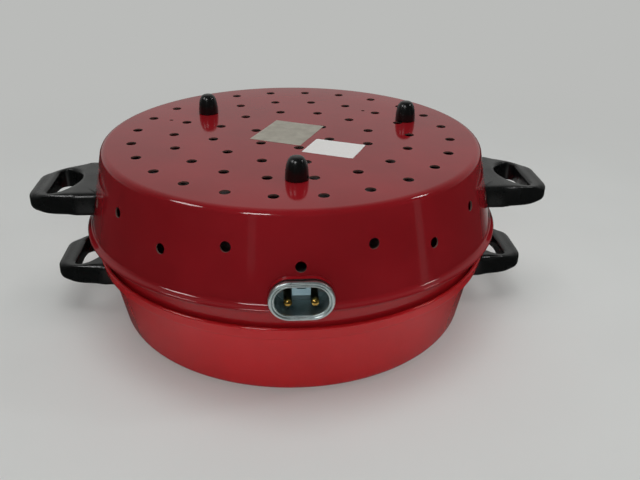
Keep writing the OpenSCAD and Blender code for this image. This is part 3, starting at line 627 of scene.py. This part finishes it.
# %% Punches
VENT_D = 8.4
VENT_PITCH = 34.2
VENT_RINGS = 4
VENT_STEP = 6
VENT_PHASE = 7.5
SIDE_VENT_D = 8.0
SIDE_VENTS = 20
SIDE_VENT_DEPTHS = (38.5, 27.0)
SPARE_HOLE_D = 3.6
SPARE_HOLES = ((134.8, 3 * VENT_PITCH - 3.2), (247.1, 3 * VENT_PITCH + 16.3))
PUNCH_STEPS = 40
PUNCH_HALF = 8


def from_front(angle, radius):
    """The spot at an angle from the front, towards +X, at a radius."""
    a = math.radians(angle)
    return Vector((radius * math.sin(a), -radius * math.cos(a), 0))


def punch(shape, diameter, matrix, half):
    """Adds a round cutter to a bmesh, along the local Z of its matrix, all in millimetres."""
    discs = [circle(diameter / 2, z, PUNCH_STEPS) for z in (-half, half)]
    ends = [[shape.verts.new((matrix @ Vector(p)) * MM) for p in disc] for disc in discs]
    for i in range(PUNCH_STEPS):
        j = (i + 1) % PUNCH_STEPS
        shape.faces.new((ends[0][i], ends[0][j], ends[1][j], ends[1][i]))
    shape.faces.new(ends[0][::-1])
    shape.faces.new(ends[1])


punches = bmesh.new()
top_spots = [(from_front(VENT_PHASE + k * 360 / (VENT_STEP * ring), ring * VENT_PITCH), VENT_D)
             for ring in range(1, VENT_RINGS + 1) for k in range(VENT_STEP * ring)]
top_spots += [(from_front(*spot), SPARE_HOLE_D) for spot in SPARE_HOLES]
for spot, hole_d in top_spots:
    punch(punches, hole_d, Matrix.Translation(spot + Vector((0, 0, lid_top_z))), PUNCH_HALF)
for k in range(SIDE_VENTS):
    turn = Matrix.Rotation(2 * math.pi * k / SIDE_VENTS, 4, "Z")
    reach = Matrix.Translation((0, -wall_low[0], lid_top_z - SIDE_VENT_DEPTHS[k % 2]))
    punch(punches, SIDE_VENT_D, turn @ reach @ Matrix.Rotation(math.pi / 2, 4, "X"), 2 * PUNCH_HALF)
print("round punches:", len(top_spots) + SIDE_VENTS)

# %% Inlet opening
shroud_low, shroud_high = (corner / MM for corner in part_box("inlet_shroud"))
inlet_z = (shroud_low.z + shroud_high.z) / 2
SHROUD_R = (shroud_high.z - shroud_low.z) / 2
SHROUD_SIDE = (shroud_high.x - shroud_low.x) / 2 - SHROUD_R
OPENING_GAP = 0.1
OPENING_SPAN = (-5, 40)
STADIUM_STEPS = 24


def stadium(radius, y):
    """Points of the inlet's outline, two half circles with straight sides, square to Y."""
    right = arc((SHROUD_SIDE, 0), radius, -90, 90, STADIUM_STEPS)
    left = arc((-SHROUD_SIDE, 0), radius, 90, 270, STADIUM_STEPS)
    return [(x, y, inlet_z + z) for x, z in right + left]


opening = [stadium(SHROUD_R + OPENING_GAP, -bead_r + y) for y in OPENING_SPAN]
inlet_punch = loft("inlet_punch", opening)
punches.from_mesh(inlet_punch)
bmesh.ops.recalc_face_normals(punches, faces=punches.faces)
punch_mesh = bpy.data.meshes.new("punches")
punches.to_mesh(punch_mesh)
punches.free()
print("faces of all punches:", len(punch_mesh.polygons))

# %% Cut the lid
VENT_EDGE_R = 0.25
EASED_ANGLE = math.radians(60)


def applied(piece):
    """The mesh of a piece with its modifiers, as a new mesh."""
    bpy.context.view_layer.update()
    depsgraph = bpy.context.evaluated_depsgraph_get()
    return bpy.data.meshes.new_from_object(piece.evaluated_get(depsgraph))


def cut_out(name, mesh, cutter_mesh, edge_radius, *materials):
    """A piece with the cutter's shapes removed and its sharp edges eased."""
    blank = finish_mesh(name + "_blank", mesh, materials[0])
    cutter = finish_mesh(name + "_cutter", cutter_mesh, materials[1])
    cut = blank.modifiers.new("cut", "BOOLEAN")
    cut.object = cutter
    cut.solver = "EXACT"
    cut.material_mode = "TRANSFER"
    ease = blank.modifiers.new("ease", "BEVEL")
    ease.width = edge_radius * MM
    ease.segments = 2
    ease.limit_method = "ANGLE"
    ease.angle_limit = EASED_ANGLE
    ease.harden_normals = True
    piece = bpy.data.objects.new(name, applied(blank))
    bpy.context.scene.collection.objects.link(piece)
    for helper in (blank, cutter):
        bpy.data.objects.remove(helper)
    return piece


lid = cut_out("lid_pressing", lid_mesh, punch_mesh, VENT_EDGE_R, LID_ENAMEL, PAINTED_EDGE_HIGHLIGHT)
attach(lid, "lid")
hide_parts("lid_shell")
print("lid faces:", len(lid.data.polygons), [m.name for m in lid.data.materials])

# %% [markdown]
# ## The pan's shell
# The pan is a second drawing: a flat base, a sloping wall, a step out to the gallery that takes the
# lid's skirt, and a rim rolled into a small round bead. The bead is part of the profile, as an arc
# that starts on the outer side of the sheet and ends on the inner side.

# %% Pan shell
pan_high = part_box("pan_shell")[1] / MM
RIM_BEAD_R = 1.6
LEDGE_DROP = 10.0
LEDGE_W = 5.4
GALLERY_LEAN = 0.6
PAN_TAPER = 11.0
RIM_NECK = 65
RIM_STEPS = 18
BASE_ROW_R = 60
BASE_BEND_R = 9
LEDGE_BEND_R = 3
rim_z = pan_high.z - RIM_BEAD_R
gallery_r = pan_high.x - RIM_BEAD_R + SHEET / 2
pan_wall_r = gallery_r - GALLERY_LEAN - LEDGE_W
pan_base_r = pan_wall_r - PAN_TAPER
ledge_z = rim_z - LEDGE_DROP
pan_corners = [(0, 0), (BASE_ROW_R, 0), (pan_base_r, 0), (pan_wall_r, ledge_z),
               (gallery_r - GALLERY_LEAN, ledge_z), (gallery_r, rim_z)]
pan_radii = [0, 0, BASE_BEND_R, LEDGE_BEND_R, LEDGE_BEND_R, 0]
pan_outer = rounded(pan_corners, pan_radii, PROFILE_STEPS)
rim_middle = (gallery_r - SHEET / 2, rim_z)
rim_roll = arc(rim_middle, RIM_BEAD_R, -RIM_NECK, 180 + RIM_NECK, RIM_STEPS)
pan_inner = moved_sideways(pan_outer, SHEET)
pan_mesh = turned("pan_pressing", pan_outer[:-1] + rim_roll + pan_inner[:-1][::-1])
pan = finish_mesh("pan_pressing", pan_mesh, PAN_ENAMEL)
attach(pan, "pan")
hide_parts("pan_shell")
print("pan faces:", len(pan.data.polygons))

# %% [markdown]
# ## Handles
# Each handle is a compression moulding with a finger hole: wide at the wall, lower and narrower at
# its tip. A box with bevels would do from afar, but here the handle is a ring of quads round the
# finger hole. Its loops run up the hole's wall, over a rounded edge, across the top, over the outer
# edge and back underneath, and the points that would reach into the wall are pushed out onto it, so
# the root sits on the shell without a gap.

# %% Handle outlines
ROOT_W = 80.0
TIP_W = 51.6
SHOULDER = 42.6
ROOT_H = 20.5
TIP_H = 15.5
CORNER_R = 15.0
ROOT_CORNER_R = 3
CORNER_STEPS = 10
BAR_W = 16.5
HOLE_L = 25.0
HOLE_R = 31.0
HOLE_CORNER_R = 6.0
HOLE_STEPS = 40
OUTER_EDGE_R = 4.8
HOLE_TOP_EDGE_R = 3.4
HOLE_LOW_EDGE_R = 6.0
HANDLE_STEPS = 144


def handle_outline(reach, root):
    """Plan of a handle that points along +X."""
    shoulder = reach - SHOULDER
    corners = [(root, -ROOT_W / 2), (shoulder, -ROOT_W / 2), (reach, -TIP_W / 2),
               (reach, TIP_W / 2), (shoulder, ROOT_W / 2), (root, ROOT_W / 2)]
    radii = [ROOT_CORNER_R] + [CORNER_R] * 4 + [ROOT_CORNER_R]
    return rounded(corners, radii, CORNER_STEPS, closed=True)


def hole_outline(reach):
    """Plan of the finger hole: straight along the tip's bar, round towards the wall."""
    bar = reach - BAR_W
    end = math.degrees(math.acos((HOLE_R - HOLE_L + HOLE_CORNER_R) / (HOLE_R - HOLE_CORNER_R)))
    round_at = (bar - HOLE_L + HOLE_R, 0)
    corner_y = (HOLE_R - HOLE_CORNER_R) * math.sin(math.radians(end))
    upper = arc((bar - HOLE_CORNER_R, corner_y), HOLE_CORNER_R, 0, 180 - end, CORNER_STEPS)
    lower = [(x, -y) for x, y in upper[::-1]]
    return upper + arc(round_at, HOLE_R, 180 - end, 180 + end, HOLE_STEPS)[1:-1] + lower


def seen_from(middle, outline):
    """The outline's points at even angles round a middle point."""
    count = len(outline)
    spokes = []
    for i in range(HANDLE_STEPS):
        turn = 2 * math.pi * i / HANDLE_STEPS
        ray = Vector((math.cos(turn), math.sin(turn)))
        for k in range(count):
            a = Vector(outline[k]) - middle
            b = Vector(outline[(k + 1) % count]) - middle
            side_a, side_b = ray.cross(a), ray.cross(b)
            if side_a <= 0 < side_b and ray.dot(a + b) > 0:
                spokes.append(tuple(middle + a.lerp(b, side_a / (side_a - side_b))))
                break
    return spokes


print("handle plan has", HANDLE_STEPS, "spokes")

# %% Handle edges and faces
EDGE_ANGLES = (0, 18, 36, 54, 72, 90)
FACE_ROWS = 6
SLOPE_START = 42
SLOPE_LENGTH = 34


def handle_height(x, reach):
    """Height of the moulding at a distance from the axis: it slopes down towards the tip."""
    t = min(max((x - (reach - SLOPE_START)) / SLOPE_LENGTH, 0), 1)
    return ROOT_H + (TIP_H - ROOT_H) * t


def edge_loops(outline, radii, inwards, reach, top):
    """Loops of a rounded edge, with a radius at each point, from the wall to the flat face."""
    one_step = moved_sideways(outline, inwards, closed=True)
    loops = []
    for angle in EDGE_ANGLES:
        a = math.radians(angle)
        loop = []
        for start, step, radius in zip(outline, one_step, radii):
            x, y = Vector(start).lerp(Vector(step), radius * (1 - math.cos(a)))
            rise = radius * (1 - math.sin(a))
            loop.append((x, y, handle_height(x, reach) - rise if top else rise))
        loops.append(loop)
    return loops


def face_loops(inner, outer, reach):
    """Loops across the top between two edges, at the moulding's own height."""
    loops = []
    for k in range(1, FACE_ROWS):
        between = [Vector(a[:2]).lerp(Vector(b[:2]), k / FACE_ROWS) for a, b in zip(inner, outer)]
        loops.append([(x, y, handle_height(x, reach)) for x, y in between])
    return loops


print("loops per edge:", len(EDGE_ANGLES))

# %% Handle loops
EDGE_SHARE = 0.32
SPOKES_AT = 0.45


def handle_loops(reach, root):
    """All loops of a handle, round its section, with its underside at height 0."""
    hole = hole_outline(reach)
    middle = Vector((reach - BAR_W - HOLE_L * SPOKES_AT, 0))
    outer = seen_from(middle, handle_outline(reach, root))
    inner = seen_from(middle, hole)
    widths = [(Vector(a) - Vector(b)).length for a, b in zip(outer, inner)]
    hole_r, low_hole_r, outer_r = ([min(radius, EDGE_SHARE * width) for width in widths]
                                   for radius in (HOLE_TOP_EDGE_R, HOLE_LOW_EDGE_R, OUTER_EDGE_R))
    hole_top = edge_loops(inner, hole_r, -1, reach, True)
    outer_top = edge_loops(outer, outer_r, 1, reach, True)
    hole_low = edge_loops(inner, low_hole_r, -1, reach, False)
    outer_low = edge_loops(outer, outer_r, 1, reach, False)
    top_face = face_loops(hole_top[-1], outer_top[-1], reach)
    return hole_low[::-1] + hole_top + top_face + outer_top[::-1] + outer_low


print("loops per handle:", 4 * len(EDGE_ANGLES) + FACE_ROWS - 1)

# %% Handles on their walls
SEAT_GAP = 0.1
ROOT_INSIDE = 14


def add_handle(name, node, body, side, wall):
    """A handle at the right (+1) or left (-1), on a wall given as two (radius, height) points."""
    low, high = (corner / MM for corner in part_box(node))
    reach = max(abs(low.x), abs(high.x))
    (r_low, z_low), (r_high, z_high) = wall
    loops = []
    for loop in handle_loops(reach, r_low - ROOT_INSIDE):
        placed = []
        for x, y, z in loop:
            wall_r = r_low + (r_high - r_low) * (low.z + z - z_low) / (z_high - z_low)
            seat = wall_r + SEAT_GAP
            push = max(seat / math.hypot(x, y), 1)
            placed.append((side * x * push, side * y * push, low.z + z))
        loops.append(placed)
    piece = finish_mesh(name, loft(name, loops, closed=True), PHENOLIC)
    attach(piece, body)
    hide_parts(node)
    return piece


lid_wall = (wall_low, wall_high)
pan_wall = ((pan_base_r, 0), (pan_wall_r, ledge_z))
for body, wall in (("lid", lid_wall), ("pan", pan_wall)):
    for side, word in ((-1, "left"), (1, "right")):
        node = f"{body}_handle_{word}"
        made = add_handle(f"{body}_moulded_handle_{word}", node, body, side, wall)
        print(made.name, len(made.data.polygons), "faces")

# %% [markdown]
# ## Feet
# Three bullet-shaped feet let the lid stand upside down. They are turned from one formula for the
# radius at each height, which gives a smooth swell with no kink between the side and the dome.

# %% Feet
FOOT_STEPS = 48
FOOT_ROWS = 22
FOOT_SWELL = (2.2, 0.28)
FOOT_BASE_EDGE = 0.5


def foot_radius(share):
    """Radius of a foot as a share of its base, at a share of its height."""
    return (1 - share ** FOOT_SWELL[0]) ** FOOT_SWELL[1]


for word in ("front", "right", "left"):
    low, high = (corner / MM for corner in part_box(f"foot_{word}"))
    spot = (low + high) / 2
    base_r, height = (high.x - low.x) / 2, high.z - low.z
    shares = [math.sin(math.pi / 2 * i / FOOT_ROWS) for i in range(FOOT_ROWS + 1)]
    rings = [circle(base_r - FOOT_BASE_EDGE, 0, FOOT_STEPS)]
    for s in shares:
        z = FOOT_BASE_EDGE + (height - FOOT_BASE_EDGE) * s
        rings.append(circle(base_r * foot_radius(s), z, FOOT_STEPS))
    rings = [[(spot.x + x, spot.y + y, low.z + z) for x, y, z in ring] for ring in rings]
    foot = finish_mesh(f"bullet_foot_{word}", loft(f"bullet_foot_{word}", rings), PHENOLIC)
    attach(foot, "lid")
    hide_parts(f"foot_{word}")
    print(foot.name, "at", [round(c, 1) for c in spot])

# %% [markdown]
# ## The inlet's collar
# The lid's sheet is drawn out into a short neck round the contact pins. A collar of plated sheet
# stands in it: an outer bead, a fine groove, and an inner lip that turns back into the socket. A
# black ring fills the step between the bead and the neck: painted shadow for the gap there. All
# three are stacks of stadium loops, and a profile is written as steps inwards from the outline and
# steps back from the front. The neck's last loops follow the lid's wall.

# %% Inlet neck
NECK_BACK = 5.8
NECK_SHEET = 0.5
NECK_LEAST = 0.2


def wall_y(x, z):
    """Y of the lid's outer wall at a place seen from the front."""
    share = max((z - wall_low[1]) / (wall_high[1] - wall_low[1]), 0)
    radius = wall_low[0] + (wall_high[0] - wall_low[0]) * share
    return -math.sqrt(radius ** 2 - x ** 2)


neck_front = shroud_low.y + NECK_BACK
neck_loops = [stadium(SHROUD_R - NECK_SHEET, neck_front), stadium(SHROUD_R, neck_front)]
for radius in (SHROUD_R, SHROUD_R - NECK_SHEET):
    neck_loops.append([(x, max(wall_y(x, z), neck_front + NECK_LEAST), z)
                       for x, y, z in stadium(radius, 0)])
neck = finish_mesh("inlet_neck", loft("inlet_neck", neck_loops, closed=True), LID_ENAMEL)
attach(neck, "lid")
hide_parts("lid_shell")
print("neck faces:", len(neck.data.polygons))

# %% Rings round the inlet
def stadium_piece(name, profile, node, material):
    """A ring round the inlet from a closed profile of (steps inwards, steps back)."""
    loops = [stadium(SHROUD_R - inwards, shroud_low.y + back) for inwards, back in profile]
    piece = finish_mesh(name, loft(name, loops, closed=True), material)
    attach(piece, "lid")
    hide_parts(node)
    print(name, len(piece.data.polygons), "faces")


print("points per ring:", 2 * (STADIUM_STEPS + 1))

# %% Collar and painted shadow ring
# Places on the collar are (steps inwards from its outline, steps back from its front)
BEAD_WIDTH_R = 1.45
BEAD_FRONT = 1.5
BEAD_RAISED = 0.05
BEAD_ARC = (180, 60)
BEAD_BACK = 2.6
GROOVE = (2.5, 0.75)
LIP_R = 0.8
LIP_FRONT = 1.15
LIP_ARC = (170, 0)
EDGE_STEPS = 8
EDGE_W = 4.4
COLLAR_SHEET = 1.0
COLLAR_DEPTH = shroud_high.y - shroud_low.y
SOCKET_DEPTH = 22.9
BEHIND_NECK = 0.7
# The black ring of painted shadow between the collar's bead and the neck: inset and thickness
SHADOW_RING_IN = 0.7
SHADOW_RING_T = 0.8
RING_GAP = 0.05

in_neck = NECK_SHEET + RING_GAP
in_shadow_ring = SHADOW_RING_IN + SHADOW_RING_T
front_depth = NECK_BACK + BEHIND_NECK
socket_in = EDGE_W - COLLAR_SHEET
bead_arc = arc((BEAD_WIDTH_R, BEAD_RAISED), BEAD_WIDTH_R, *BEAD_ARC, EDGE_STEPS)
lip_arc = arc((EDGE_W - LIP_R, 0), LIP_R, *LIP_ARC, EDGE_STEPS)
collar_profile = [(in_neck, COLLAR_DEPTH), (in_neck, NECK_BACK), (in_shadow_ring + RING_GAP, NECK_BACK),
                  (in_shadow_ring + RING_GAP, BEAD_BACK), (0, BEAD_BACK)]
collar_profile += [(x, BEAD_FRONT - y) for x, y in bead_arc] + [GROOVE]
collar_profile += [(x, LIP_FRONT - y) for x, y in lip_arc]
collar_profile += [(EDGE_W, SOCKET_DEPTH), (socket_in, SOCKET_DEPTH), (socket_in, front_depth),
                   (COLLAR_SHEET, front_depth), (COLLAR_SHEET, COLLAR_DEPTH)]
stadium_piece("inlet_collar", collar_profile, "inlet_shroud", SHROUD_PLATE)
# The black ring is painted shadow in the gap over the collar
shadow_ring_near, shadow_ring_far = BEAD_BACK + RING_GAP, NECK_BACK - RING_GAP
shadow_ring_profile = [(SHADOW_RING_IN, shadow_ring_near), (SHADOW_RING_IN, shadow_ring_far),
                (in_shadow_ring, shadow_ring_far), (in_shadow_ring, shadow_ring_near)]
stadium_piece("inlet_shadow_ring", shadow_ring_profile, "inlet_shroud", BLACK_SHADOW_PAINT)

# %% [markdown]
# ## Blank plate and label
# A foil plate and a paper label lie on the top. Both are bare. A scaled cube would do for each, but
# here they are thin slabs with rows of faces, so that their corners can lift a little, as those of
# stuck-on sheets do.

# %% Thin sheets
SLAB_ROWS = 12
SLAB_SHARE = 0.6
LIFT_BIAS = 0.6


def thin_sheet(name, node, size, turn, lift, material, slot):
    """A thin slab on the lid's top whose corners lift by up to `lift` millimetres."""
    low, high = (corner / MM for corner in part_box(node))
    middle = (low + high) / 2
    spin = Matrix.Rotation(math.radians(turn), 3, "Z")
    thickness = (high.z - low.z) * SLAB_SHARE
    shape = bmesh.new()
    layers = []
    for level in (0, thickness):
        grid = []
        for i in range(SLAB_ROWS + 1):
            for j in range(SLAB_ROWS + 1):
                u, v = 2 * i / SLAB_ROWS - 1, 2 * j / SLAB_ROWS - 1
                raised = lift * (u * u * v * v * (1 + u * LIFT_BIAS) / (1 + LIFT_BIAS))
                flat = spin @ Vector((u * size[0] / 2, v * size[1] / 2, 0))
                height = low.z + level + raised * level / thickness
                spot = Vector((middle.x, middle.y, height)) + flat
                grid.append(shape.verts.new(spot * MM))
        layers.append(grid)
    count = SLAB_ROWS + 1
    for grid, way in ((layers[0], -1), (layers[1], 1)):
        for i in range(SLAB_ROWS):
            for j in range(SLAB_ROWS):
                a = i * count + j
                shape.faces.new([grid[k] for k in (a, a + count, a + count + 1, a + 1)][::way])
    rim = list(range(count)) + [i * count + SLAB_ROWS for i in range(1, count)]
    rim += [SLAB_ROWS * count + j for j in range(SLAB_ROWS - 1, -1, -1)]
    rim += [i * count for i in range(SLAB_ROWS - 1, 0, -1)]
    for a, b in zip(rim, rim[1:] + rim[:1]):
        shape.faces.new((layers[0][a], layers[0][b], layers[1][b], layers[1][a]))
    bmesh.ops.recalc_face_normals(shape, faces=shape.faces)
    mesh = bpy.data.meshes.new(name)
    shape.to_mesh(mesh)
    shape.free()
    piece = finish_mesh(name, mesh, material)
    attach(piece, "lid")
    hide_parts(node)
    return piece


print("rows of faces per sheet:", SLAB_ROWS)

# %% Plate and label
# Node, size, turn in degrees and lift of the corners
PLATE = ("rating_plate", (57.0, 46.5), 65.4, 0.12)
LABEL = ("paper_label", (44.0, 35.0), -24.3, 0.2)
print(thin_sheet("blank_foil_plate", *PLATE, FOIL, "foil").name)
print(thin_sheet("blank_paper_label", *LABEL, PAPER, "paper").name)

# %% [markdown]
# ## Finishes of the inner pieces
# The other pieces keep their CAD shape, which is already that of the real screw, pin or bracket.
# Each takes the finish that its slot in the record names.

# %% Inner finishes
FINISHES = {
    "zinc_steel": ZINC_STEEL, "brass": BRASS, "bright_aluminium": ALUMINIUM,
    "heater_steel": HEATER_STEEL, "spring_steel": SPRING_STEEL, "plated_shroud": SHROUD_PLATE,
    "white_ceramic": CERAMIC, "insulator": PAINTED_LIT_INSULATOR, "phenolic": PHENOLIC,
    "lid_enamel": LID_ENAMEL, "pan_enamel": PAN_ENAMEL, "foil": FOIL, "paper": PAPER,
}
for subpart in frame["record"]["subparts"]:
    slots = frame["nodes"][subpart["node"]].material_slots
    for slot in slots:
        slot.material = FINISHES[subpart["material_slot"]]
